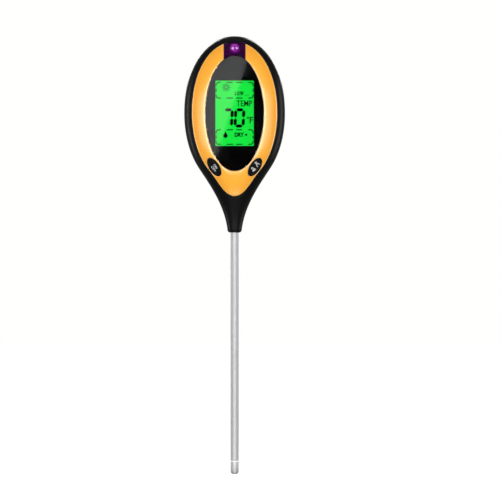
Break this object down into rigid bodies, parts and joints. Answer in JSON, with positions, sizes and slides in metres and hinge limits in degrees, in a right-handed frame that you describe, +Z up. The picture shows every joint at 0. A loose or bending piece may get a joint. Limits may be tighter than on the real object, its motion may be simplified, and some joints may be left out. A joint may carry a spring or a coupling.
{
  "type": "soil moisture meter",
  "caption": "Leaf-shaped soil meter head with a face ring, oval display lens, light window, oval keys and a rear battery bay, on a long round metal probe.",
  "frame": {"origin": "centre of the probe tip's flat end", "axes": "+Z up the probe to the head's crown, -Y out of the display, +X to the right of someone facing the display"},
  "size_m": [0.063, 0.0335, 0.2738],
  "materials": {
    "shell": "satin moulded ABS, black",
    "ring": "pearl orange lacquer on ABS",
    "lens": "clear acrylic, printed black behind",
    "window": "clear violet acrylic",
    "key": "black silicone rubber with white print",
    "display": "display cell, lit green",
    "light_guide": "milky acrylic",
    "zebra": "layered conductive rubber",
    "board": "glass-fibre board with green mask",
    "chip": "moulded epoxy",
    "sensor": "clear violet resin dome",
    "switch_case": "moulded nylon",
    "foam": "closed-cell foam",
    "battery_jacket": "printed metal jacket, black and copper bands",
    "nickel": "nickel plate",
    "vinyl": "soft black vinyl",
    "red_wire": "red vinyl insulation",
    "aluminium": "satin drawn tube",
    "nylon": "white nylon",
    "brass": "turned brass",
    "steel": "zinc-plated steel"
  },
  "bodies": {
    "head": {"front_shell": "shell", "back_shell": "shell", "face_ring": "ring", "display_lens": "lens", "light_window": "window", "power_switch": "switch_case", "unit_switch": "switch_case", "lcd_glass": "display", "lcd_backlight": "light_guide", "zebra_strip_upper": "zebra", "zebra_strip_lower": "zebra", "main_board": "board", "main_chip": "chip", "light_sensor": "sensor", "battery": "battery_jacket", "battery_plus_terminal": "nickel", "battery_minus_terminal": "nickel", "battery_snap": "vinyl", "battery_lead_red": "red_wire", "battery_lead_black": "vinyl", "probe_tip": "aluminium", "probe_insulator": "nylon", "probe_tube": "aluminium", "probe_collar": "brass", "thermistor": "chip", "core_cable": "vinyl", "tube_lead": "vinyl", "case_screw_1": "steel", "case_screw_2": "steel", "case_screw_3": "steel", "case_screw_4": "steel", "board_screw_1": "steel", "board_screw_2": "steel", "board_screw_3": "steel", "board_screw_4": "steel"},
    "power_key": {"power_button": "key"},
    "unit_key": {"unit_button": "key"},
    "power_stem": {"power_plunger": "nylon"},
    "unit_stem": {"unit_plunger": "nylon"},
    "door": {"battery_cover": "shell", "cover_pad": "foam"}
  },
  "joints": [
    {"name": "power_key_press", "type": "slide", "parent": "head", "child": "power_key", "axis": [0, 1, 0], "range_m": [0, 0.0006], "stiffness_N_per_m": 400, "springref_m": -0.0003},
    {"name": "unit_key_press", "type": "slide", "parent": "head", "child": "unit_key", "axis": [0, 1, 0], "range_m": [0, 0.0006], "stiffness_N_per_m": 400, "springref_m": -0.0003},
    {"name": "power_stem_press", "type": "slide", "parent": "head", "child": "power_stem", "axis": [0, 1, 0], "range_m": [0, 0.0003]},
    {"name": "unit_stem_press", "type": "slide", "parent": "head", "child": "unit_stem", "axis": [0, 1, 0], "range_m": [0, 0.0003]},
    {"name": "battery_cover_tilt", "type": "hinge", "parent": "head", "child": "door", "pos_m": [0, 0.01887, 0.2015], "axis": [-1, 0, 0], "range_deg": [0, 60]}
  ],
  "couplings": [
    {"joint": "power_stem_press", "follows": "power_key_press", "ratio": 0.5},
    {"joint": "unit_stem_press", "follows": "unit_key_press", "ratio": 0.5}
  ]
}
